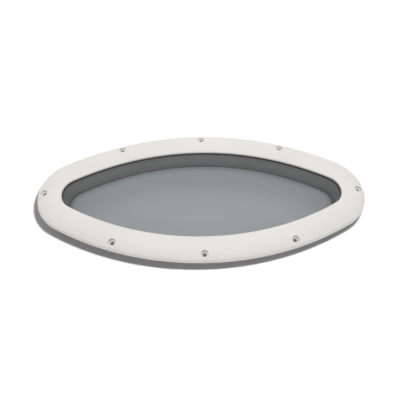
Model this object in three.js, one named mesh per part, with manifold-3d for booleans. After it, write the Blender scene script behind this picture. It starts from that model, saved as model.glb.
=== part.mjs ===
// Fixed oval porthole for a boat's side: a crowned outer ring with eight counterbored holes, a
// deep body frame, a tinted lens in a channel seal, and a screwed retainer ring on the cabin side.
//
// Millimetres, +Z outboard, X along the long axis. The origin is the centre of the retainer's
// back face, which is the lowest plane of the part when it lies face up.

import * as THREE from "three";
import { mergeVertices } from "three/addons/utils/BufferGeometryUtils.js";
import Module from "manifold-3d";

const wasm = await Module();
wasm.setup();

// ---------------------------------------------------------------- driving dimensions

// Outer outline: two long arcs and two tip arcs that meet tangentially.
const LENGTH = 360;
const HEIGHT = 160;
const TIP_RADIUS = 45;
const LONG_ARC_STEPS = 20;
const TIP_ARC_STEPS = 16;

// Insets are measured inwards from the outer outline, square to it.
const RING_LIP_INSET = 26.5;
const SPIGOT_INSET = 16.6;
const REBATE_INSET = 23.9;
const WALL_TOP_INSET = 25.2;
const WALL_FOOT_INSET = 26.2;
const SEAL_LIP_INSET = 26.7;

// Heights are measured from the hull's outer surface, outboard positive.
const RING_EDGE = 3.8; // where the crown's arc would meet the outer outline
const RING_CREST = 7.2;
const RING_CREST_INSET = 16.5;
const RING_EDGE_ROUND = 3.2;
const RING_LIP_ROUND = 1.4;
const RING_LIP_CHAMFER = 0.9; // under the lip, for the bond gasket's bead
const RING_ROOF = 3.6; // bottom of the groove under the ring that the body is bonded into
const RING_CORE_FROM = 3; // the hollow under the ring, between the bosses
const RING_CORE_TO = 12.5;
const RING_CORE_TOP = 2.4;
const BODY_TOP = 2.8;
const SHOULDER = -20; // the step in the body that the seal bears on
const SEAL_LIP = 1.4;
const LENS_THICKNESS = 4;
const BODY_END = -28;
const RETAINER_THICKNESS = 3;
const RETAINER_BACK = BODY_END - RETAINER_THICKNESS;

const GASKET_THICKNESS = 1.6;
const GASKET_INSET = 1.8;
const GASKET_TO_BODY = 0.5;
const BOND_INSET = 16.9;
const BEAD_INSET = 26.25; // inner face of the bond gasket's bead, just behind the ring's lip
const BEAD_DROP = 0.4; // how far the bead hangs over the edge of the body's wall
const BEAD_RISE = 0.5; // how far it stands up under the lip's chamfer
const FIT_GAP = 0.1; // between a piece and the one it sits in

// Mounting holes in the ring: flat-floored counterbores for 3.5 mm pan-head screws.
const MOUNT_INSET = 7.5;
const MOUNT_HOLE_X = 93; // long-arc holes either side of the middle ones
const MOUNT_HOLE_RADIUS = 2.1;
const MOUNT_HEAD_RADIUS = 3.65;
const MOUNT_HEAD_FLOOR = 3;
const MOUNT_BOSS_RADIUS = 5.1;

// Retainer screws: countersunk, self-tapping.
const SCREW_COUNT = 14;
const SCREW_INSET = 20.8;
const SCREW_RADIUS = 1.45;
const SCREW_LENGTH = 13;
const SCREW_HEAD_RADIUS = 2.75;
const SCREW_SINK = 0.25; // how far the head's face lies below the retainer's back
const SCREW_HEAD_EDGE = 0.3; // the straight rim of the head
const SCREW_HEAD_DEPTH = SCREW_HEAD_RADIUS - SCREW_RADIUS; // a 90 degree cone
const SCREW_POINT_LENGTH = 2;
const SCREW_POINT_RADIUS = 0.4;
const RECESS_WIDTH = 3; // the cross recess in the head
const RECESS_SLOT = 0.8;
const RECESS_DEPTH = 1.2;
const BOSS_RADIUS = 3.7;
const SKIN = 2.2; // walls of the cored spigot

// Lens seal and retainer.
const CHANNEL_WEB = 1;
const SEAL_LIP_CHAMFER = 0.5;
const RETAINER_INSET = 16.8;
const RETAINER_EDGE_CHAMFER = 0.5;
const RETAINER_MOUTH_INSET = 26.4;
const RETAINER_MOUTH_CHAMFER = 1.2;

// ---------------------------------------------------------------- outline

const tipCentre = LENGTH / 2 - TIP_RADIUS;
const halfHeight = HEIGHT / 2;
const longRadius =
  (tipCentre ** 2 + halfHeight ** 2 - TIP_RADIUS ** 2) / (2 * (halfHeight - TIP_RADIUS));
const longCentre = longRadius - halfHeight;
const longHalfAngle = Math.atan2(tipCentre, longCentre);
const tipHalfAngle = Math.PI / 2 - longHalfAngle;

// The outline's four arcs, anticlockwise from the right-hand tip.
const ARCS = [
  { x: tipCentre, y: 0, radius: TIP_RADIUS, middle: 0, half: tipHalfAngle, steps: TIP_ARC_STEPS },
  { x: 0, y: -longCentre, radius: longRadius, middle: 90, half: longHalfAngle, steps: LONG_ARC_STEPS },
  { x: -tipCentre, y: 0, radius: TIP_RADIUS, middle: 180, half: tipHalfAngle, steps: TIP_ARC_STEPS },
  { x: 0, y: longCentre, radius: longRadius, middle: 270, half: longHalfAngle, steps: LONG_ARC_STEPS },
].map((arc) => ({ ...arc, from: THREE.MathUtils.degToRad(arc.middle) - arc.half }));

// A point of an arc, moved inwards by inset.
function arcPoint(arc, angle, inset) {
  const r = arc.radius - inset;
  return new THREE.Vector2(arc.x + r * Math.cos(angle), arc.y + r * Math.sin(angle));
}

// Every ring is built on the same stations, so that its faces lie parallel to its neighbours'.
const STATIONS = ARCS.flatMap((arc) =>
  Array.from({ length: arc.steps }, (_, i) => ({
    arc,
    angle: arc.from + (2 * arc.half * i) / arc.steps,
  })),
);

const outline = (inset) => STATIONS.map((s) => arcPoint(s.arc, s.angle, inset));

// Points at equal distances along the outline at an inset, the first at the right-hand tip.
function spacedAlong(inset, count) {
  const lengths = ARCS.map((arc) => 2 * arc.half * (arc.radius - inset));
  const whole = lengths.reduce((sum, l) => sum + l, 0);
  return Array.from({ length: count }, (_, i) => {
    let along = (lengths[0] / 2 + (whole * i) / count) % whole;
    let k = 0;
    while (along > lengths[k]) {
      along -= lengths[k];
      k += 1;
    }
    return arcPoint(ARCS[k], ARCS[k].from + along / (ARCS[k].radius - inset), inset);
  });
}

// ---------------------------------------------------------------- solids

// A closed ring: a profile of [inset, height] points carried round the outline.
function ring(profile) {
  const area = THREE.ShapeUtils.area(profile.map(([u, z]) => new THREE.Vector2(u, z)));
  const points = area < 0 ? profile : [...profile].reverse();
  const n = points.length;
  const position = STATIONS.flatMap((s) =>
    points.flatMap(([u, z]) => [...arcPoint(s.arc, s.angle, u), z]),
  );
  const index = [];
  for (let i = 0; i < STATIONS.length; i++) {
    const next = (i + 1) % STATIONS.length;
    for (let j = 0; j < n; j++) {
      const k = (j + 1) % n;
      index.push(i * n + j, next * n + j, next * n + k);
      index.push(i * n + j, next * n + k, i * n + k);
    }
  }
  const geometry = new THREE.BufferGeometry();
  geometry.setAttribute("position", new THREE.Float32BufferAttribute(position, 3));
  geometry.setIndex(index);
  return solid(geometry);
}

// A ring of rectangular section.
const band = (outer, inner, low, high) =>
  ring([[outer, low], [inner, low], [inner, high], [outer, high]]);

// A full plate with the outline at an inset.
function plate(inset, low, high) {
  const shape = new THREE.Shape(outline(inset));
  const geometry = new THREE.ExtrudeGeometry(shape, { depth: high - low, bevelEnabled: false });
  return solid(geometry.translate(0, 0, low));
}

// A turned piece about Z, from [radius, height] points that start and end on the axis.
function turned(profile, segments = 20) {
  const points = profile.map(([r, z]) => new THREE.Vector2(r, z));
  return solid(new THREE.LatheGeometry(points, segments).rotateX(Math.PI / 2));
}

const rod = (radius, low, high, segments) =>
  turned([[0, low], [radius, low], [radius, high], [0, high]], segments);

const copiesAt = (piece, places) =>
  wasm.Manifold.union(places.map((p) => piece.translate([p.x, p.y, 0])));

function solid(geometry) {
  const bare = geometry.clone();
  bare.deleteAttribute("normal");
  bare.deleteAttribute("uv");
  const merged = mergeVertices(bare, 1e-4);
  return new wasm.Manifold(
    new wasm.Mesh({
      numProp: 3,
      vertProperties: merged.attributes.position.array,
      triVerts: new Uint32Array(merged.index.array),
    }),
  );
}

function geometryOf(piece) {
  const { vertProperties, triVerts } = piece.getMesh();
  const geometry = new THREE.BufferGeometry();
  geometry.setAttribute("position", new THREE.BufferAttribute(vertProperties, 3));
  geometry.setIndex(new THREE.BufferAttribute(triVerts, 1));
  geometry.computeVertexNormals();
  return geometry;
}

// ---------------------------------------------------------------- places

const mountRadius = longRadius - MOUNT_INSET;
const MOUNTS = [
  new THREE.Vector2(0, halfHeight - MOUNT_INSET),
  new THREE.Vector2(0, MOUNT_INSET - halfHeight),
  new THREE.Vector2(LENGTH / 2 - MOUNT_INSET, 0),
  new THREE.Vector2(MOUNT_INSET - LENGTH / 2, 0),
];
const mountHoleY = Math.sqrt(mountRadius ** 2 - MOUNT_HOLE_X ** 2) - longCentre;
for (const sx of [-1, 1]) {
  for (const sy of [-1, 1]) MOUNTS.push(new THREE.Vector2(sx * MOUNT_HOLE_X, sy * mountHoleY));
}

const SCREWS = spacedAlong(SCREW_INSET, SCREW_COUNT);

// ---------------------------------------------------------------- pieces

// The ring's crown is an arc across its section.
const crownRise = RING_CREST - RING_EDGE;
const crownRadius = (RING_CREST_INSET ** 2 + crownRise ** 2) / (2 * crownRise);
const crownMiddle = RING_CREST - crownRadius;

const CROWN_INSETS = [4.5, 7.5, 10.5, 13.5, RING_CREST_INSET, 19.5, 22.5];

const crown = (inset) =>
  crownMiddle + Math.sqrt(crownRadius ** 2 - (RING_CREST_INSET - inset) ** 2);

// A round that touches the crown. Its centre is at an inset, and it runs from the upright tangent
// on the outer side (side -1) or to the one on the inner side (side 1).
function crownRound(inset, radius, side, steps) {
  const middle =
    crownMiddle + Math.sqrt((crownRadius - radius) ** 2 - (RING_CREST_INSET - inset) ** 2);
  const touch = Math.atan2(inset - RING_CREST_INSET, middle - crownMiddle);
  const upright = (side * Math.PI) / 2;
  const from = Math.min(touch, upright);
  const turn = Math.abs(upright - touch);
  return Array.from({ length: steps + 1 }, (_, i) => {
    const a = from + (turn * i) / steps;
    return [inset + radius * Math.sin(a), middle + radius * Math.cos(a)];
  });
}

// White ring: crowned from its well-rounded outer edge to the lip, and cored underneath round
// eight bosses.
function outerTrimRing() {
  const whole = ring([
    [0, 0],
    ...crownRound(RING_EDGE_ROUND, RING_EDGE_ROUND, -1, 5),
    ...CROWN_INSETS.map((inset) => [inset, crown(inset)]),
    ...crownRound(RING_LIP_INSET - RING_LIP_ROUND, RING_LIP_ROUND, 1, 3),
    [RING_LIP_INSET, RING_ROOF + RING_LIP_CHAMFER],
    [RING_LIP_INSET - RING_LIP_CHAMFER, RING_ROOF],
    [SPIGOT_INSET - FIT_GAP, RING_ROOF],
    [SPIGOT_INSET - FIT_GAP, 0],
  ]);
  const bosses = copiesAt(rod(MOUNT_BOSS_RADIUS, -2, RING_CORE_TOP + 1), MOUNTS);
  const core = band(RING_CORE_FROM, RING_CORE_TO, -1, RING_CORE_TOP).subtract(bosses);
  const head = turned([
    [0, -1],
    [MOUNT_HOLE_RADIUS, -1],
    [MOUNT_HOLE_RADIUS, MOUNT_HEAD_FLOOR],
    [MOUNT_HEAD_RADIUS, MOUNT_HEAD_FLOOR],
    [MOUNT_HEAD_RADIUS, RING_CREST + 1],
    [0, RING_CREST + 1],
  ]);
  return whole.subtract(core).subtract(copiesAt(head, MOUNTS));
}

// Dark body: a cored spigot that passes through the hull, with its top edge in the ring's groove.
function bodyFrame() {
  const whole = ring([
    [SPIGOT_INSET, BODY_TOP],
    [SPIGOT_INSET, BODY_END],
    [REBATE_INSET, BODY_END],
    [REBATE_INSET, SHOULDER],
    [WALL_FOOT_INSET, SHOULDER],
    [WALL_TOP_INSET, BODY_TOP],
  ]);
  const coreTop = -SKIN;
  const core = band(SPIGOT_INSET + SKIN, REBATE_INSET - SKIN, BODY_END - 1, coreTop).subtract(
    copiesAt(rod(BOSS_RADIUS, BODY_END - 2, 0, 12), SCREWS),
  );
  const pilot = rod(SCREW_RADIUS + FIT_GAP, BODY_END - 1, BODY_END + SCREW_LENGTH, 16);
  return whole.subtract(core).subtract(copiesAt(pilot, SCREWS));
}

// Foam gasket between the ring and the hull. It has no holes: the mounting screws pierce it.
const hullGasket = () =>
  band(GASKET_INSET, SPIGOT_INSET - GASKET_TO_BODY, -GASKET_THICKNESS, 0);

// Bonding gasket between the groove and the body's top edge. Its inner edge is a bead that hangs
// over the edge of the body's wall and shows as a dark line under the ring's lip.
function bondGasket() {
  const wall = WALL_TOP_INSET + FIT_GAP + 0.05; // the 0.05 clears the wall's draft
  return ring([
    [BOND_INSET, RING_ROOF],
    [BOND_INSET, BODY_TOP],
    [wall, BODY_TOP],
    [wall, BODY_TOP - BEAD_DROP],
    [BEAD_INSET, BODY_TOP - BEAD_DROP],
    [BEAD_INSET, RING_ROOF + BEAD_RISE],
    [BEAD_INSET - BEAD_RISE, RING_ROOF],
  ]);
}

const sealTop = SHOULDER - FIT_GAP;
const lensTop = sealTop - SEAL_LIP;
const lensBack = lensTop - LENS_THICKNESS;
const sealBack = lensBack - SEAL_LIP;

// Rubber channel round the edge of the lens.
function glazingSeal() {
  const outer = REBATE_INSET + FIT_GAP;
  return ring([
    [outer, sealBack],
    [SEAL_LIP_INSET, sealBack],
    [SEAL_LIP_INSET, lensBack],
    [outer + CHANNEL_WEB, lensBack],
    [outer + CHANNEL_WEB, lensTop],
    [SEAL_LIP_INSET, lensTop],
    [SEAL_LIP_INSET - SEAL_LIP_CHAMFER, sealTop],
    [outer, sealTop],
  ]);
}

const lens = () => plate(REBATE_INSET + CHANNEL_WEB + 2 * FIT_GAP, lensBack, lensTop);

// Cabin-side ring that presses the seal and the lens against the body's shoulder.
function lensRetainer() {
  const whole = ring([
    [RETAINER_INSET, BODY_END],
    [RETAINER_INSET, RETAINER_BACK + RETAINER_EDGE_CHAMFER],
    [RETAINER_INSET + RETAINER_EDGE_CHAMFER, RETAINER_BACK],
    [RETAINER_MOUTH_INSET - RETAINER_MOUTH_CHAMFER, RETAINER_BACK],
    [RETAINER_MOUTH_INSET, RETAINER_BACK + RETAINER_MOUTH_CHAMFER],
    [RETAINER_MOUTH_INSET, sealBack],
    [REBATE_INSET + 2 * FIT_GAP, sealBack],
    [REBATE_INSET + 2 * FIT_GAP, BODY_END],
  ]);
  const seat = screwShape(FIT_GAP, RETAINER_BACK - 1);
  return whole.subtract(copiesAt(seat, SCREWS));
}

// A retainer screw's outline, larger all over by clearance; it starts at the height of the bottom.
function screwShape(clearance, bottom) {
  const face = RETAINER_BACK + SCREW_SINK;
  const r = SCREW_RADIUS + clearance;
  const head = SCREW_HEAD_RADIUS + clearance;
  const tip = face + SCREW_LENGTH;
  return turned([
    [0, bottom],
    [head, bottom],
    [head, face + SCREW_HEAD_EDGE],
    [r, face + SCREW_HEAD_EDGE + SCREW_HEAD_DEPTH],
    [r, tip - SCREW_POINT_LENGTH],
    [SCREW_POINT_RADIUS, tip],
    [0, tip],
  ], 16);
}

// A retainer screw, with a cross recess in its head.
function retainerScrew() {
  const face = RETAINER_BACK + SCREW_SINK;
  const slot = new THREE.BoxGeometry(RECESS_WIDTH, RECESS_SLOT, 2 * RECESS_DEPTH);
  slot.translate(0, 0, face);
  const cross = solid(slot).add(solid(slot.clone().rotateZ(Math.PI / 2)));
  return screwShape(0, face).subtract(cross);
}

// ---------------------------------------------------------------- materials

const finish = (name, color, roughness, metalness = 0, more = {}) =>
  new THREE.MeshStandardMaterial({ name, color, roughness, metalness, ...more });

const WHITE_PLASTIC = finish("white_plastic", 0xdbd8d3, 0.4);
const DARK_PLASTIC = finish("dark_plastic", 0x9e9e9d, 0.55);
const FOAM_RUBBER = finish("foam_rubber", 0x737373, 0.9);
const SEAL_RUBBER = finish("seal_rubber", 0x5a5a5a, 0.7);
const SMOKED_ACRYLIC = finish("smoked_acrylic", 0xa5a9ac, 0.08, 0, { transparent: true, opacity: 0.8 });
const STAINLESS = finish("stainless", 0xc4c4c2, 0.3, 1);

// ---------------------------------------------------------------- assembly

const porthole = new THREE.Group();
porthole.name = "fixed_porthole";
porthole.position.z = -RETAINER_BACK; // from hull heights to the part's own frame

function addPiece(name, piece, material) {
  const mesh = new THREE.Mesh(geometryOf(piece), material);
  mesh.name = name;
  porthole.add(mesh);
  return mesh;
}

addPiece("outer_trim_ring", outerTrimRing(), WHITE_PLASTIC);
addPiece("bond_gasket", bondGasket(), SEAL_RUBBER);
addPiece("body_frame", bodyFrame(), DARK_PLASTIC);
addPiece("hull_gasket", hullGasket(), FOAM_RUBBER);
addPiece("glazing_seal", glazingSeal(), SEAL_RUBBER);
addPiece("lens", lens(), SMOKED_ACRYLIC);
addPiece("lens_retainer", lensRetainer(), DARK_PLASTIC);

const screw = retainerScrew();
SCREWS.forEach((place, i) => {
  const name = `retainer_screw_${String(i + 1).padStart(2, "0")}`;
  addPiece(name, screw, STAINLESS).position.set(place.x, place.y, 0);
});

export default porthole;
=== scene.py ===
# Looks for the fixed oval porthole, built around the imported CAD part.
#
# Lengths in this script are millimetres in the part's own frame (+Z outboard, the retainer's back
# face at z = 0) and become metres only when a mesh is made.

import math
import random

import bmesh
import bpy
from mathutils import Matrix, Vector


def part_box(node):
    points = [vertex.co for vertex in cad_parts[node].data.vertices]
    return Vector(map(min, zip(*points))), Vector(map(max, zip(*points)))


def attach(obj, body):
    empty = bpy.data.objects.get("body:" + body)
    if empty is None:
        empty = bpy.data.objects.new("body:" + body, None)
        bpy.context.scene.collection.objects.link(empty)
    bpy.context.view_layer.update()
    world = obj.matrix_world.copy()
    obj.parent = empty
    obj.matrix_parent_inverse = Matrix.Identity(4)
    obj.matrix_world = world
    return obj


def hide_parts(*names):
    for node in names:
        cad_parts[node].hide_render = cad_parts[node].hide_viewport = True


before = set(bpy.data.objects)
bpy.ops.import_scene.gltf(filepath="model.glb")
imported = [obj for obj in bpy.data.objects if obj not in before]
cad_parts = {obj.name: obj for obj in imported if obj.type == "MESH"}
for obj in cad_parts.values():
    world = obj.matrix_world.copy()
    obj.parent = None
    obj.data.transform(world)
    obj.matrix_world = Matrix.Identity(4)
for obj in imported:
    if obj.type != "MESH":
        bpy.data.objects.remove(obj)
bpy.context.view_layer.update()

MM = 0.001

# ------------------------------------------------------------------ sizes from the CAD model


def box_mm(node):
    lo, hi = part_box(node)
    return Vector(lo) / MM, Vector(hi) / MM


ring_lo, ring_hi = box_mm("outer_trim_ring")
body_lo, body_hi = box_mm("body_frame")
gasket_lo, gasket_hi = box_mm("hull_gasket")
bond_hi = box_mm("bond_gasket")[1]
seal_lo, seal_hi = box_mm("glazing_seal")
lens_lo, lens_hi = box_mm("lens")
retainer_lo, retainer_hi = box_mm("lens_retainer")
screw_lo = box_mm("retainer_screw_01")[0]

HULL = ring_lo.z  # height of the hull's outer surface, where the ring's underside is
half_length = ring_hi.x
half_height = ring_hi.y


def inset_of(box_hi):
    """How far inside the outer outline a piece's own outline lies."""
    return half_height - box_hi.y


# ------------------------------------------------------------------ driving dimensions (mm)

TIP_RADIUS = 45.0

RING_LIP_INSET = 26.5
RING_CREST_INSET = 16.5
RING_EDGE_HEIGHT = 3.8
RING_ROOF = 3.6
RING_EDGE_ROUND = 3.2
RING_LIP_ROUND = 1.4
RING_LIP_CHAMFER = 0.9

WALL_TOP_INSET = 25.2
WALL_FOOT_INSET = 26.2
REBATE_INSET = 23.9
SEAL_LIP_INSET = 26.7
SEAL_LIP_CHAMFER = 0.5
CHANNEL_WEB = 1.0
LENS_EDGE_CHAMFER = 0.35
FIT_GAP = 0.1
BEAD_TO_WALL = 0.05  # added to the fit gap, to clear the wall's draft
GASKET_TO_BODY = 0.5
BEAD_INSET = 26.25
BEAD_DROP = 0.4
BEAD_RISE = 0.5

MOUNT_INSET = 7.5
MOUNT_HOLE_X = 93.0
MOUNT_HOLE_RADIUS = 2.1
MOUNT_HEAD_RADIUS = 3.65
MOUNT_HEAD_FLOOR = 3.0
MOUNT_PATCH_ACROSS = 5.2  # half sizes of the patch of finer mesh round a mounting hole
MOUNT_PATCH_ALONG = 6.0

RETAINER_MOUTH_INSET = 26.4
RETAINER_MOUTH_CHAMFER = 1.2
RETAINER_EDGE_CHAMFER = 0.5

SCREW_COUNT = 14
SCREW_INSET = 20.8
SCREW_RADIUS = 1.45
SCREW_HEAD_RADIUS = 2.75
SCREW_HEAD_EDGE = 0.3  # the straight rim of the head
SCREW_LENGTH = 13.0
SCREW_CORE = 0.78  # core radius as a share of the thread's
THREAD_PITCH = 1.3
THREAD_STEPS = 6  # sections in one turn of the thread
SCREW_SIDES = 48
SCREW_PATCH_ACROSS = 3.25  # and round a screw's hole in the retainer
SCREW_PATCH_ALONG = 3.6

# ------------------------------------------------------------------ outline

tip_centre = half_length - TIP_RADIUS
long_radius = (tip_centre**2 + half_height**2 - TIP_RADIUS**2) / (2 * (half_height - TIP_RADIUS))
long_centre = long_radius - half_height
long_half = math.atan2(tip_centre, long_centre)
tip_half = math.pi / 2 - long_half

# centre x, centre y, radius, middle direction, half angle; anticlockwise from the right-hand tip
ARCS = (
    (tip_centre, 0.0, TIP_RADIUS, 0.0, tip_half),
    (0.0, -long_centre, long_radius, math.pi / 2, long_half),
    (-tip_centre, 0.0, TIP_RADIUS, math.pi, tip_half),
    (0.0, long_centre, long_radius, 3 * math.pi / 2, long_half),
)


def arc_point(arc, angle, inset):
    cx, cy, radius = ARCS[arc][:3]
    r = radius - inset
    return cx + r * math.cos(angle), cy + r * math.sin(angle)


def inset_at(x, y):
    """A point's distance inside the outer outline."""
    x, y = abs(x), abs(y)
    if math.atan2(x, y + long_centre) <= long_half:
        return long_radius - math.hypot(x, y + long_centre)
    return TIP_RADIUS - math.hypot(x - tip_centre, y)


def arc_ends(arc):
    middle, half = ARCS[arc][3:]
    return middle - half, middle + half


def spaced_along(inset, count):
    """Arc and angle of points at equal distances along the outline at an inset, from the right tip."""
    lengths = [2 * a[4] * (a[2] - inset) for a in ARCS]
    places = []
    for i in range(count):
        along = (lengths[0] / 2 + sum(lengths) * i / count) % sum(lengths)
        k = 0
        while along > lengths[k]:
            along -= lengths[k]
            k += 1
        places.append((k, arc_ends(k)[0] + along / (ARCS[k][2] - inset)))
    return places


def mount_places():
    side = math.asin(MOUNT_HOLE_X / (long_radius - MOUNT_INSET))
    places = [(0, 0.0), (2, math.pi)]
    for arc, middle in ((1, math.pi / 2), (3, 3 * math.pi / 2)):
        places += [(arc, middle - side), (arc, middle), (arc, middle + side)]
    return places


MOUNTS = mount_places()
SCREWS = spaced_along(SCREW_INSET, SCREW_COUNT)

PATCH_CELLS = 12  # grid cells along each side of the patch round a hole
SECTION_TURN = 2.5  # degrees that an arc turns at most from one section to the next


def stations(pitch, holes=(), hole_inset=0.0, patch_half=0.0):
    """Arc and angle of each section round the outline, and where each hole's patch starts.

    A hole's patch takes PATCH_CELLS sections. It may run past the end of an arc, so sections are
    worked out as distances along the outline at the holes' inset."""
    lengths = [2 * a[4] * (a[2] - hole_inset) for a in ARCS]
    starts = [sum(lengths[:k]) for k in range(4)]
    whole = sum(lengths)

    def place(along):
        along %= whole
        k = 3
        while along < starts[k]:
            k -= 1
        return k, arc_ends(k)[0] + (along - starts[k]) / (ARCS[k][2] - hole_inset)

    middles = sorted(
        starts[arc] + (angle - arc_ends(arc)[0]) * (ARCS[arc][2] - hole_inset)
        for arc, angle in holes
    )
    found, patches = [], []
    if not middles:
        for k in range(4):
            by_turn = round(2 * ARCS[k][4] / math.radians(SECTION_TURN))
            count = max(12, round(lengths[k] / pitch), by_turn)
            found += [place(starts[k] + lengths[k] * i / count) for i in range(count)]
        return found, patches
    for i, middle in enumerate(middles):
        patches.append((len(found), place(middle)))
        for c in range(PATCH_CELLS):
            found.append(place(middle + patch_half * (2 * c / PATCH_CELLS - 1)))
        gap_from = middle + patch_half
        gap_to = middles[(i + 1) % len(middles)] - patch_half
        if gap_to < gap_from:
            gap_to += whole
        count = max(2, round((gap_to - gap_from) / pitch))
        found += [place(gap_from + (gap_to - gap_from) * c / count) for c in range(count)]
    return found, patches


# ------------------------------------------------------------------ meshes


def finish_mesh(name, verts, faces, sharp=35.0):
    """A smooth-shaded object from millimetre points, with edges over the sharp angle kept hard.

    Points that no face uses are left out."""
    mesh = bpy.data.meshes.new(name)
    mesh.from_pydata([[c * MM for c in v] for v in verts], [], faces)
    bm = bmesh.new()
    bm.from_mesh(mesh)
    loose = [v for v in bm.verts if not v.link_faces]
    bmesh.ops.delete(bm, geom=loose, context="VERTS")
    bmesh.ops.remove_doubles(bm, verts=bm.verts, dist=1e-7)
    bmesh.ops.recalc_face_normals(bm, faces=bm.faces)
    bm.to_mesh(mesh)
    bm.free()
    mesh.shade_smooth()
    mesh.set_sharp_from_angle(angle=math.radians(sharp))
    obj = bpy.data.objects.new(name, mesh)
    bpy.context.scene.collection.objects.link(obj)
    return obj


def swept_ring(name, profile, pitch, holes=(), hole_inset=0.0, patch_half=0.0, top=0, bottom=0,
               wall=(), tops=None, bottoms=None):
    """A closed ring: a profile of (inset, height) points carried round the outline.

    top and bottom are the first profile index of the PATCH_CELLS bands that holes pass through.
    tops and bottoms give a surface's height at a point (x, y). wall is a hole's (radius, height)
    rings, the first on the top surface. A height may also be ("below top", depth)."""
    places, patches = stations(pitch, holes, hole_inset, patch_half)
    n = len(profile)
    count = len(places)
    verts = []
    for arc, angle in places:
        for u, z in profile:
            verts.append((*arc_point(arc, angle, u), z))
    skipped = set()
    for first, _ in patches:
        for c in range(PATCH_CELLS):
            for start in (top, bottom):
                skipped.update(((first + c) % count, start + j) for j in range(PATCH_CELLS))
    faces = []
    for i in range(count):
        following = (i + 1) % count
        for j in range(n):
            if (i, j) in skipped:
                continue
            k = (j + 1) % n
            faces.append((i * n + j, following * n + j, following * n + k, i * n + k))
    for first, (arc, angle) in patches:
        add_hole(verts, faces, profile, count, first, arc, angle, hole_inset, top, bottom, wall,
                 tops, bottoms)
    return finish_mesh(name, verts, faces)


def patch_border(n, count, first, start, flipped):
    """Grid vertices round a patch, from a low-inset corner; both surfaces go the same way."""
    c = PATCH_CELLS
    path = [(s, 0) for s in range(c)]
    path += [(c, t) for t in range(c)]
    path += [(s, c) for s in range(c, 0, -1)]
    path += [(0, t) for t in range(c, 0, -1)]
    border = []
    for s, t in path:
        j = start + (c - t if flipped else t)
        border.append(((first + s) % count) * n + j)
    return border


def add_hole(verts, faces, profile, count, first, arc, angle, inset, top, bottom, wall, tops,
             bottoms):
    """Fills a hole's patches and joins them with the hole's wall."""
    n = len(profile)
    cx, cy = arc_point(arc, angle, inset)
    ring_size = 4 * PATCH_CELLS

    def circle(radius, height):
        """A ring of points in step with the patch's border."""
        made = []
        for k in range(ring_size):
            direction = angle + 2 * math.pi * (k - PATCH_CELLS / 2) / ring_size
            x = cx + radius * math.cos(direction)
            y = cy + radius * math.sin(direction)
            made.append(len(verts))
            verts.append((x, y, height(x, y) if callable(height) else height))
        return made

    def fill(border, radius, height):
        """Rings between a patch's border and the hole's rim, closer together near the rim."""
        rings = [border]
        rim = circle(radius, height)
        for share in (0.4, 0.72, 0.9):
            made = []
            for b, r in zip(border, rim):
                x = verts[b][0] + (verts[r][0] - verts[b][0]) * share
                y = verts[b][1] + (verts[r][1] - verts[b][1]) * share
                made.append(len(verts))
                verts.append((x, y, height(x, y)))
            rings.append(made)
        return rings + [rim]

    rings = fill(patch_border(n, count, first, top, False), wall[0][0], tops)
    for radius, height in wall[1:]:
        if isinstance(height, tuple):
            rings.append(circle(radius, lambda x, y: tops(x, y) - height[1]))
        else:
            rings.append(circle(radius, height))
    low = fill(patch_border(n, count, first, bottom, True), wall[-1][0], bottoms)
    rings += low[::-1]
    for a, b in zip(rings, rings[1:]):
        for k in range(ring_size):
            m = (k + 1) % ring_size
            faces.append((a[k], a[m], b[m], b[k]))


def patch_insets(middle, half):
    """Insets of a patch's grid lines."""
    return [middle + half * (2 * t / PATCH_CELLS - 1) for t in range(PATCH_CELLS + 1)]


def rounded(profile, radius_at, steps=4):
    """A closed profile with some corners rounded: radius_at maps a corner's index to its radius."""
    out = []
    count = len(profile)
    for i, point in enumerate(profile):
        radius = radius_at.get(i, 0.0)
        if radius <= 0:
            out.append(point)
            continue
        p = Vector(point)
        a = (Vector(profile[i - 1]) - p).normalized()
        b = (Vector(profile[(i + 1) % count]) - p).normalized()
        half = a.angle(b) / 2
        reach = radius / math.tan(half)
        centre = p + (a + b).normalized() * (radius / math.sin(half))
        start = p + a * reach - centre
        end = p + b * reach - centre
        for s in range(steps + 1):
            v = start.slerp(end, s / steps)
            out.append(tuple(centre + v))
    return out


# ------------------------------------------------------------------ pieces: white ring

crown_rise = ring_hi.z - HULL - RING_EDGE_HEIGHT
crown_radius = (RING_CREST_INSET**2 + crown_rise**2) / (2 * crown_rise)
crown_middle = ring_hi.z - crown_radius


def crown(u):
    return crown_middle + math.sqrt(crown_radius**2 - (RING_CREST_INSET - u) ** 2)


def round_middle(u_centre, radius):
    """Height of the centre of a round that touches the crown, from the inset of that centre."""
    return crown_middle + math.sqrt((crown_radius - radius) ** 2 - (RING_CREST_INSET - u_centre) ** 2)


def round_touch(u_centre, radius):
    """Direction, from straight up, in which such a round touches the crown."""
    return math.atan2(u_centre - RING_CREST_INSET, round_middle(u_centre, radius) - crown_middle)


def crown_round(u_centre, radius, start, end, steps):
    """Points of such a round between two directions from straight up, inwards positive."""
    z = round_middle(u_centre, radius)
    points = []
    for s in range(steps + 1):
        a = start + (end - start) * s / steps
        points.append((u_centre + radius * math.sin(a), z + radius * math.cos(a)))
    return points


edge_middle = round_middle(RING_EDGE_ROUND, RING_EDGE_ROUND)
edge_touch = round_touch(RING_EDGE_ROUND, RING_EDGE_ROUND)
edge_touch_inset = RING_EDGE_ROUND * (1 + math.sin(edge_touch))


def ring_top(u):
    """Height of the ring's top at an inset: the round of its outer edge, then the crown."""
    if u >= edge_touch_inset:
        return crown(u)
    return edge_middle + math.sqrt(RING_EDGE_ROUND**2 - (RING_EDGE_ROUND - u) ** 2)


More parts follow.
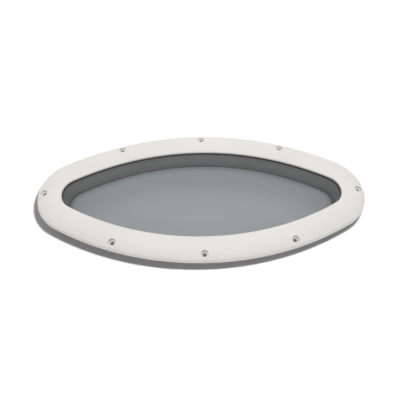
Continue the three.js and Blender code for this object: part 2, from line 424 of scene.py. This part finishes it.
def make_ring():
    """The white ring. The hundredths of a millimetre in its lists are the small rounds of edges."""
    roof = HULL + RING_ROOF
    groove = inset_of(body_hi) - FIT_GAP
    patch = patch_insets(MOUNT_INSET, MOUNT_PATCH_ACROSS)
    patch_turn = math.asin(patch[0] / RING_EDGE_ROUND - 1)
    profile = [(0.18, HULL), (0.05, HULL + 0.05), (0.0, HULL + 0.18)]
    profile += crown_round(RING_EDGE_ROUND, RING_EDGE_ROUND, -math.pi / 2, patch_turn, 9)[:-1]
    top = len(profile)
    profile += [(u, ring_top(u)) for u in patch]
    profile += [(u, crown(u)) for u in (13.9, 15.2, 16.6, 18.0, 19.4, 20.8, 22.2, 23.4, 24.4)]
    lip = RING_LIP_INSET - RING_LIP_ROUND  # the middle of the lip's round
    profile += crown_round(lip, RING_LIP_ROUND, round_touch(lip, RING_LIP_ROUND), math.pi / 2, 8)
    profile += [(RING_LIP_INSET, roof + RING_LIP_CHAMFER), (RING_LIP_INSET - RING_LIP_CHAMFER, roof)]
    profile += [(groove + 0.2, roof), (groove, roof - 0.2)]
    profile += [(groove, HULL + 0.2), (groove - 0.2, HULL)]
    bottom = len(profile)
    profile += [(u, HULL) for u in reversed(patch)]
    floor = HULL + MOUNT_HEAD_FLOOR
    wall = [
        (MOUNT_HEAD_RADIUS + 0.2, ("below top", 0)),
        (MOUNT_HEAD_RADIUS + 0.06, ("below top", 0.04)),
        (MOUNT_HEAD_RADIUS, ("below top", 0.16)),
        (MOUNT_HEAD_RADIUS, floor + 0.2),
        (MOUNT_HEAD_RADIUS - 0.06, floor + 0.06),
        (MOUNT_HEAD_RADIUS - 0.2, floor),
        (MOUNT_HOLE_RADIUS + 0.14, floor),
        (MOUNT_HOLE_RADIUS + 0.04, floor - 0.04),
        (MOUNT_HOLE_RADIUS, floor - 0.14),
        (MOUNT_HOLE_RADIUS, HULL + 0.12),
        (MOUNT_HOLE_RADIUS + 0.1, HULL),
    ]
    return swept_ring(
        "trim_ring", profile, pitch=2.4, holes=MOUNTS, hole_inset=MOUNT_INSET,
        patch_half=MOUNT_PATCH_ALONG, top=top, bottom=bottom, wall=wall,
        tops=lambda x, y: ring_top(inset_at(x, y)), bottoms=lambda x, y: HULL,
    )


# ------------------------------------------------------------------ pieces: body, seals, lens


def make_body():
    """The frame: its spigot, the rebate for the seal, and the inner wall with its draft."""
    outer = inset_of(body_hi)
    low, high = body_lo.z, body_hi.z
    shoulder = seal_hi.z + FIT_GAP
    profile = [
        (outer, high), (outer, low), (REBATE_INSET, low), (REBATE_INSET, shoulder),
        (WALL_FOOT_INSET, shoulder), (WALL_TOP_INSET, high),
    ]
    radii = {0: 0.4, 1: 0.5, 2: 0.3, 3: 0.2, 4: 0.35, 5: 0.5}
    return swept_ring("frame_moulding", rounded(profile, radii), pitch=2.2)


def make_hull_gasket():
    """Foam strip under the ring, with the slightly swollen edges of a compressed gasket."""
    low, high = gasket_lo.z, gasket_hi.z
    outer = inset_of(gasket_hi)
    inner = inset_of(body_hi) - GASKET_TO_BODY
    profile = [(outer, high), (outer, low), (inner, low), (inner, high)]
    radii = {0: 0.35, 1: 0.6, 2: 0.6, 3: 0.35}
    return swept_ring("foam_gasket", rounded(profile, radii), pitch=2.8)


def make_bond_gasket():
    """Rubber strip on the body's top, with a bead that hangs over the wall's edge under the lip. The
    bead is partly real gasket and partly painted shade: its near-black rubber draws the shadow line
    under the lip.
    """
    outer = inset_of(bond_hi)
    wall = WALL_TOP_INSET + FIT_GAP + BEAD_TO_WALL
    low, high = body_hi.z, HULL + RING_ROOF
    foot = low - BEAD_DROP
    profile = [
        (outer, high), (outer, low), (wall, low), (wall, foot), (BEAD_INSET, foot),
        (BEAD_INSET, high + BEAD_RISE), (BEAD_INSET - BEAD_RISE, high),
    ]
    return swept_ring("bond_strip", rounded(profile, {3: 0.2, 4: 0.35, 5: 0.2}, 3), pitch=3.0)


def make_seal():
    """Rubber channel round the lens's edge."""
    outer = inset_of(seal_hi)
    web = outer + CHANNEL_WEB
    profile = [
        (outer, seal_lo.z), (SEAL_LIP_INSET, seal_lo.z), (SEAL_LIP_INSET, lens_lo.z),
        (web, lens_lo.z), (web, lens_hi.z), (SEAL_LIP_INSET, lens_hi.z),
        (SEAL_LIP_INSET - SEAL_LIP_CHAMFER, seal_hi.z), (outer, seal_hi.z),
    ]
    radii = {0: 0.4, 1: 0.5, 5: 0.2, 6: 0.7, 7: 0.4}
    return swept_ring("channel_seal", rounded(profile, radii, 5), pitch=2.2)


def make_lens():
    """Flat pane with a small chamfer on both edges."""
    edge = inset_of(lens_hi)
    low, high = lens_lo.z, lens_hi.z
    bevel = LENS_EDGE_CHAMFER
    places = stations(2.2)[0]
    levels = [(edge + bevel, low), (edge, low + bevel), (edge, high - bevel), (edge + bevel, high)]
    verts, faces = [], []
    for arc, angle in places:
        for u, z in levels:
            verts.append((*arc_point(arc, angle, u), z))
    n, count = len(levels), len(places)
    for i in range(count):
        following = (i + 1) % count
        for j in range(n - 1):
            faces.append((i * n + j, following * n + j, following * n + j + 1, i * n + j + 1))
    faces.append(tuple(i * n + n - 1 for i in range(count)))
    faces.append(tuple(i * n for i in reversed(range(count))))
    return finish_mesh("tinted_lens", verts, faces, 20)


def make_retainer():
    """Cabin-side ring with countersunk holes; its rib stands against the seal."""
    outer = inset_of(retainer_hi)
    back, face = retainer_lo.z, body_lo.z
    rib = retainer_hi.z
    spigot = REBATE_INSET + 2 * FIT_GAP
    mouth = RETAINER_MOUTH_INSET
    patch = patch_insets(SCREW_INSET, SCREW_PATCH_ACROSS)
    edge = RETAINER_EDGE_CHAMFER
    profile = [(outer, face), (outer, back + edge), (outer + 0.14, back + 0.14), (outer + edge, back)]
    at_back = len(profile)
    profile += [(u, back) for u in patch]
    chamfer = RETAINER_MOUTH_CHAMFER
    profile += [(mouth - chamfer - 0.3, back), (mouth - chamfer + 0.15, back + 0.08)]
    profile += [(mouth - 0.1, back + chamfer - 0.17), (mouth, back + chamfer + 0.2)]
    profile += [(mouth, rib - 0.2), (mouth - 0.2, rib), (spigot + 0.3, rib), (spigot, rib - 0.3)]
    profile += [(spigot, face)]
    at_face = len(profile)
    profile += [(u, face) for u in reversed(patch)]
    head = SCREW_HEAD_RADIUS + FIT_GAP
    shank = SCREW_RADIUS + FIT_GAP
    cone = screw_lo.z + SCREW_HEAD_EDGE
    wall = [
        (head + 0.12, back),
        (head, back + 0.12),
        (head, cone),
        (shank, cone + head - shank),
        (shank, face),
    ]
    return swept_ring(
        "retainer_ring", profile, pitch=2.4, holes=SCREWS, hole_inset=SCREW_INSET,
        patch_half=SCREW_PATCH_ALONG, top=at_back, bottom=at_face, wall=wall,
        tops=lambda x, y: back, bottoms=lambda x, y: face,
    )


# ------------------------------------------------------------------ pieces: retainer screws


def make_screw_mesh():
    """A countersunk self-tapping screw, head down at z = 0, with its cross recess and thread."""
    head = SCREW_HEAD_RADIUS
    core = SCREW_RADIUS * SCREW_CORE
    cone_top = SCREW_HEAD_EDGE + head - SCREW_RADIUS

    def section(z, radius_at):
        """Points round the screw; radius_at gives the radius at a share of the way round."""
        points = []
        for k in range(SCREW_SIDES):
            r, turn = radius_at(k / SCREW_SIDES), 2 * math.pi * k / SCREW_SIDES
            points.append((r * math.cos(turn), r * math.sin(turn), z))
        return points

    outline = [(head - 0.12, 0.0), (head - 0.03, 0.04), (head, 0.12), (head, SCREW_HEAD_EDGE)]
    outline += [(SCREW_RADIUS, cone_top), (core, cone_top + 0.5)]
    rings = [section(z, lambda share: r) for r, z in outline]
    z = cone_top + 0.6
    while z < SCREW_LENGTH - 0.3:
        taper = min(1.0, max(0.25, (SCREW_LENGTH - z) / 2.2))
        height = (SCREW_RADIUS - core) * min(1.0, (z - cone_top) / 1.2)

        def threaded(share):
            phase = (z / THREAD_PITCH - share) % 1.0
            ridge = max(0.0, 1 - abs(phase - 0.5) * 5)
            return (core + height * ridge) * taper

        rings.append(section(z, threaded))
        z += THREAD_PITCH / THREAD_STEPS
    bm = bmesh.new()
    made = [[bm.verts.new(p) for p in ring] for ring in rings]
    for a, b in zip(made, made[1:]):
        for k in range(SCREW_SIDES):
            m = (k + 1) % SCREW_SIDES
            bm.faces.new((a[k], a[m], b[m], b[k]))
    tip = bm.verts.new((0, 0, SCREW_LENGTH))
    for k in range(SCREW_SIDES):
        bm.faces.new((made[-1][k], made[-1][(k + 1) % SCREW_SIDES], tip))
    add_cross_recess(bm, made[0])
    bmesh.ops.recalc_face_normals(bm, faces=bm.faces)
    for v in bm.verts:
        v.co *= MM
    mesh = bpy.data.meshes.new("screw")
    bm.to_mesh(mesh)
    bm.free()
    mesh.shade_smooth()
    mesh.set_sharp_from_angle(angle=math.radians(32))
    return mesh


def add_cross_recess(bm, rim):
    """Closes the head's face with a four-winged recess that narrows towards its floor."""
    arm, half_width = 1.55, 0.36
    inner = half_width + 0.22  # where two wings meet
    floor_depth = 1.5
    outline = []
    for q in range(4):
        c, s = math.cos(q * math.pi / 2), math.sin(q * math.pi / 2)
        corner = [(arm, -half_width), (arm, half_width), (inner, inner)]
        outline += [(x * c - y * s, x * s + y * c) for x, y in corner]
    rings = []
    for shrink, depth in ((1.0, 0.0), (0.93, 0.06), (0.5, 1.25)):
        ring = []
        for i, (x, y) in enumerate(outline):
            k = shrink if i % 3 != 2 else 1 - (1 - shrink) * 0.45
            ring.append(bm.verts.new((x * k, y * k, depth)))
        rings.append(ring)
    count = len(outline)
    for a, b in zip(rings, rings[1:]):
        for i in range(count):
            m = (i + 1) % count
            bm.faces.new((a[i], a[m], b[m], b[i]))
    low = bm.verts.new((0, 0, floor_depth))
    for i in range(count):
        bm.faces.new((rings[-1][i], rings[-1][(i + 1) % count], low))
    edges = []
    for loop in (rim, rings[0]):
        for i in range(len(loop)):
            a, b = loop[i], loop[(i + 1) % len(loop)]
            edges.append(bm.edges.get((a, b)) or bm.edges.new((a, b)))
    bmesh.ops.triangle_fill(bm, edges=edges, use_beauty=True)


# ------------------------------------------------------------------ materials


class Nodes:
    """Builds one material's node tree."""

    def __init__(self, name):
        self.material = bpy.data.materials.new(name)
        self.material.use_nodes = True
        self.tree = self.material.node_tree
        self.tree.nodes.clear()
        self.out = self.tree.nodes.new("ShaderNodeOutputMaterial")
        self.place = self.tree.nodes.new("ShaderNodeTexCoord").outputs["Object"]

    def add(self, kind, inputs=None, **settings):
        node = self.tree.nodes.new(kind)
        for key, value in settings.items():
            setattr(node, key, value)
        for key, value in (inputs or {}).items():
            self.put(node.inputs[key], value)
        return node

    def put(self, socket, value):
        if isinstance(value, bpy.types.NodeSocket):
            self.tree.links.new(value, socket)
        else:
            socket.default_value = value

    def noise(self, scale, detail, rough):
        return self.add(
            "ShaderNodeTexNoise",
            {"Vector": self.place, "Scale": scale, "Detail": detail, "Roughness": rough},
        ).outputs["Fac"]

    def ramp(self, value, stops):
        """A colour that runs between two (position, colour) stops."""
        node = self.add("ShaderNodeValToRGB", {"Fac": value})
        for element, (position, colour) in zip(node.color_ramp.elements, stops):
            element.position = position
            element.color = (*colour, 1.0)
        return node.outputs["Color"]

    def spread(self, value, low, high, from_low, from_high):
        return self.add(
            "ShaderNodeMapRange",
            {"Value": value, "From Min": from_low, "From Max": from_high, "To Min": low,
             "To Max": high},
        ).outputs["Result"]

    def mix(self, fac, tone, other):
        """A tone with some of another colour in it."""
        node = self.add("ShaderNodeMix", data_type="RGBA")
        factor, first, second = node.inputs[0], node.inputs[6], node.inputs[7]
        self.put(factor, fac)
        self.put(first, tone)
        self.put(second, (*other, 1.0))
        return node.outputs[2]

    def bump(self, height, strength, distance, normal=None):
        node = self.add("ShaderNodeBump", {"Height": height, "Strength": strength, "Distance": distance})
        if normal is not None:
            self.put(node.inputs["Normal"], normal)
        return node.outputs["Normal"]

    def principled(self, **inputs):
        keys = {k.replace("_", " "): v for k, v in inputs.items()}
        return self.add("ShaderNodeBsdfPrincipled", keys).outputs["BSDF"]

    def done(self, shader):
        self.tree.links.new(shader, self.out.inputs["Surface"])
        return self.material


def white_plastic():
    """Injection-moulded UV-stable white plastic: fine moulded grain, faint flow and yellowing."""
    n = Nodes("white_plastic")
    cloud = n.noise(14.0, 4.0, 0.55)
    speck = n.noise(900.0, 2.0, 0.6)
    tone = n.ramp(cloud, ((0.3, (0.700, 0.679, 0.648)), (0.7, (0.730, 0.711, 0.683))))
    tone = n.mix(n.spread(speck, 0.0, 0.35, 0.62, 0.8), tone, (0.65, 0.628, 0.592))
    rough = n.spread(n.noise(60.0, 3.0, 0.6), 0.3, 0.42, 0.3, 0.7)
    grain = n.bump(n.noise(2600.0, 2.0, 0.55), 0.10, 0.00006)
    wave = n.bump(n.noise(22.0, 2.0, 0.4), 0.12, 0.0006, grain)
    return n.done(n.principled(Base_Color=tone, Roughness=rough, Normal=wave, IOR=1.5))


def dark_plastic():
    """Grey glass-filled nylon: fine spark-eroded texture with a dull sheen."""
    n = Nodes("dark_plastic")
    cloud = n.noise(30.0, 4.0, 0.6)
    fibre = n.noise(1500.0, 3.0, 0.65)
    tone = n.ramp(cloud, ((0.3, (0.328, 0.328, 0.326)), (0.7, (0.374, 0.374, 0.372))))
    tone = n.mix(n.spread(fibre, 0.0, 0.5, 0.55, 0.8), tone, (0.45, 0.45, 0.447))
    rough = n.spread(n.noise(400.0, 3.0, 0.6), 0.46, 0.64, 0.3, 0.7)
    grain = n.bump(n.noise(1900.0, 3.0, 0.6), 0.28, 0.00012)
    return n.done(n.principled(Base_Color=tone, Roughness=rough, Normal=grain, IOR=1.52))


def foam_rubber():
    """Grey closed-cell foam: matt, with open cut cells."""
    n = Nodes("foam_rubber")
    cells = n.add("ShaderNodeTexVoronoi", {"Vector": n.place, "Scale": 1500.0}).outputs["Distance"]
    cloud = n.noise(60.0, 3.0, 0.6)
    tone = n.ramp(cloud, ((0.3, (0.16, 0.16, 0.161)), (0.7, (0.19, 0.19, 0.191))))
    tone = n.mix(n.spread(cells, 0.5, 0.0, 0.1, 0.5), tone, (0.08, 0.08, 0.08))
    skin = n.bump(cells, 0.6, 0.0002)
    return n.done(n.principled(Base_Color=tone, Roughness=0.92, Normal=skin, IOR=1.45))


def solid_rubber(name, dark, pale):
    """Extruded rubber with a faint bloom, between two grey levels."""
    n = Nodes(name)
    bloom = n.noise(120.0, 4.0, 0.65)
    tone = n.ramp(bloom, ((0.35, (dark, dark, dark)), (0.75, (pale, pale, pale))))
    rough = n.spread(bloom, 0.5, 0.75, 0.3, 0.75)
    skin = n.bump(n.noise(900.0, 2.0, 0.5), 0.15, 0.00008)
    return n.done(n.principled(Base_Color=tone, Roughness=rough, Normal=skin, IOR=1.5))


def smoked_acrylic():
    """Smoke-grey acrylic with a milky body: a fifth of the light passes straight through."""
    n = Nodes("smoked_acrylic")
    cloud = n.noise(9.0, 3.0, 0.5)
    tone = n.ramp(cloud, ((0.3, (0.350, 0.370, 0.386)), (0.7, (0.368, 0.389, 0.405))))
    haze = n.noise(260.0, 4.0, 0.7)
    rough = n.spread(haze, 0.04, 0.12, 0.4, 0.75)
    wave = n.bump(n.noise(30.0, 2.0, 0.4), 0.05, 0.0004)
    return n.done(n.principled(Base_Color=tone, Roughness=rough, Normal=wave, IOR=1.49, Alpha=0.8))


def stainless():
    """Tumbled stainless steel with fine random scratches."""
    n = Nodes("stainless")
    cloud = n.noise(700.0, 4.0, 0.6)
    tone = n.ramp(cloud, ((0.3, (0.50, 0.495, 0.485)), (0.7, (0.62, 0.615, 0.605))))
    rough = n.spread(cloud, 0.22, 0.4, 0.3, 0.7)
    marks = n.bump(n.noise(3500.0, 3.0, 0.6), 0.2, 0.00004)
    return n.done(n.principled(Base_Color=tone, Metallic=1.0, Roughness=rough, Normal=marks))


# ------------------------------------------------------------------ assembly


def dress(piece, material, node):
    """Gives a piece its material, and puts it in the place of a CAD node."""
    piece.data.materials.append(material)
    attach(piece, "root")
    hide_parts(node)


WHITE = white_plastic()
DARK = dark_plastic()
FOAM = foam_rubber()
SEAL = solid_rubber("seal_rubber", 0.17, 0.2)
# The bead's near-black tone is painted shade: on the real rubber strip it draws the shadow line under
# the ring's lip.
PAINTED_SHADE_BEAD = solid_rubber("bead_rubber_painted_shade", 0.062, 0.082)
ACRYLIC = smoked_acrylic()
STEEL = stainless()

dress(make_ring(), WHITE, "outer_trim_ring")
dress(make_bond_gasket(), PAINTED_SHADE_BEAD, "bond_gasket")
dress(make_body(), DARK, "body_frame")
dress(make_hull_gasket(), FOAM, "hull_gasket")
dress(make_seal(), SEAL, "glazing_seal")
dress(make_lens(), ACRYLIC, "lens")
dress(make_retainer(), DARK, "lens_retainer")

screw_mesh = make_screw_mesh()
turns = random.Random(4)
for number, (arc, angle) in enumerate(SCREWS, start=1):
    x, y = arc_point(arc, angle, SCREW_INSET)
    mesh = screw_mesh.copy()
    spin = Matrix.Rotation(turns.uniform(0, math.pi / 2), 4, "Z")
    mesh.transform(Matrix.Translation(Vector((x, y, screw_lo.z)) * MM) @ spin)
    screw = bpy.data.objects.new(f"screw_{number:02d}", mesh)
    bpy.context.scene.collection.objects.link(screw)
    dress(screw, STEEL, f"retainer_screw_{number:02d}")

# ------------------------------------------------------------------ floor


def make_floor():
    """A plain white sheet, in metres."""
    half = 3.0
    corners = [(-half, -half, 0), (half, -half, 0), (half, half, 0), (-half, half, 0)]
    mesh = bpy.data.meshes.new("floor")
    mesh.from_pydata(corners, [], [(0, 1, 2, 3)])
    floor = bpy.data.objects.new("floor", mesh)
    bpy.context.scene.collection.objects.link(floor)
    n = Nodes("paper_white")
    tone = n.ramp(n.noise(3.0, 2.0, 0.5), ((0.3, (0.93, 0.93, 0.93)), (0.7, (0.95, 0.95, 0.95))))
    n.done(n.principled(Base_Color=tone, Roughness=0.9, IOR=1.3))
    mesh.materials.append(n.material)
    return floor


floor = make_floor()

# ------------------------------------------------------------------ camera


def make_camera():
    """Above the near long side, a little to its left; the view leans slightly."""
    azimuth, elevation, roll = math.radians(-2.49), math.radians(60.11), math.radians(1.32)
    forward = Vector((
        -math.sin(azimuth) * math.cos(elevation),
        math.cos(azimuth) * math.cos(elevation),
        -math.sin(elevation),
    ))
    right = Vector((math.cos(azimuth), math.sin(azimuth), 0))
    up = right.cross(forward)
    leaned_right = right * math.cos(roll) + up * math.sin(roll)
    leaned_up = up * math.cos(roll) - right * math.sin(roll)
    data = bpy.data.cameras.new("camera")
    data.lens = 29.25
    data.sensor_width = 36.0
    data.clip_start = 0.01
    camera = bpy.data.objects.new("camera", data)
    distance = 361.9
    aside, above = 2.89, 6.79  # where the view's axis passes the ring's middle, in mm
    target = Vector((0, 0, HULL)) - leaned_right * aside - leaned_up * above
    place = (target - forward * distance) * MM
    camera.matrix_world = Matrix((
        (leaned_right.x, leaned_up.x, -forward.x, place.x),
        (leaned_right.y, leaned_up.y, -forward.y, place.y),
        (leaned_right.z, leaned_up.z, -forward.z, place.z),
        (0, 0, 0, 1),
    ))
    bpy.context.scene.collection.objects.link(camera)
    bpy.context.scene.camera = camera


make_camera()

# ------------------------------------------------------------------ light


def floor_group(name, state):
    """A collection for light linking that holds only the floor."""
    group = bpy.data.collections.new(name)
    group.objects.link(floor)
    group.collection_objects[0].light_linking.link_state = state
    return group


ON_FLOOR = floor_group("on_floor", "INCLUDE")
OFF_FLOOR = floor_group("off_floor", "EXCLUDE")


def make_key():
    """A small lamp near the camera that lights the floor alone, so that it casts the crisp shadow
    without a hot spot on the ring. Its light doesn't fade with distance."""
    data = bpy.data.lights.new("key", "POINT")
    data.shadow_soft_size = 0.014
    data.energy = 42
    data.use_nodes = True
    falloff = data.node_tree.nodes.new("ShaderNodeLightFalloff")
    falloff.inputs["Strength"].default_value = 1.0
    strength = data.node_tree.nodes["Emission"].inputs["Strength"]
    data.node_tree.links.new(falloff.outputs["Constant"], strength)
    lamp = bpy.data.objects.new("key", data)
    lamp.location = (0.03, -0.112, 0.37)
    lamp.light_linking.receiver_collection = ON_FLOOR
    bpy.context.scene.collection.objects.link(lamp)


def make_far_fill(name, aside):
    """A spot that whitens the floor behind the part, where the key's light comes in low."""
    data = bpy.data.lights.new(name, "SPOT")
    data.spot_size = math.radians(95)
    data.spot_blend = 1.0
    data.shadow_soft_size = 0.2
    data.energy = 8
    lamp = bpy.data.objects.new(name, data)
    lamp.location = (aside, 0.5, 0.55)
    lamp.light_linking.receiver_collection = ON_FLOOR
    bpy.context.scene.collection.objects.link(lamp)


def make_soft_box(name, azimuth, elevation, size, power):
    """A round area lamp aimed at the part alone, which leaves no hot spot in the lens or on the
    ring. Azimuth 0 is behind the part (+Y)."""
    distance = 1.5
    data = bpy.data.lights.new(name, "AREA")
    data.shape = "DISK"
    data.size = size
    data.energy = power
    lamp = bpy.data.objects.new(name, data)
    turn, rise = math.radians(azimuth), math.radians(elevation)
    away = Vector((
        math.sin(turn) * math.cos(rise), math.cos(turn) * math.cos(rise), math.sin(rise),
    ))
    lamp.location = away * distance
    lamp.rotation_mode = "QUATERNION"
    lamp.rotation_quaternion = away.to_track_quat("Z", "Y")
    lamp.light_linking.receiver_collection = OFF_FLOOR
    lamp.visible_glossy = False
    bpy.context.scene.collection.objects.link(lamp)


make_key()
make_far_fill("far_fill_left", -0.38)
make_far_fill("far_fill_right", 0.38)
make_soft_box("soft_top", 0, 90, 1.2, 16.7)
make_soft_box("soft_back", 0, 35, 0.6, 7.1)
make_soft_box("soft_front", 180, 40, 0.6, 1.6)
make_soft_box("soft_right", 95, 40, 0.6, 0.8)

world = bpy.data.worlds.new("studio")
bpy.context.scene.world = world
world.use_nodes = True
world.node_tree.nodes["Background"].inputs["Color"].default_value = (1, 1, 1, 1)
world.node_tree.nodes["Background"].inputs["Strength"].default_value = 0.23

bpy.context.scene.view_settings.view_transform = "Standard"
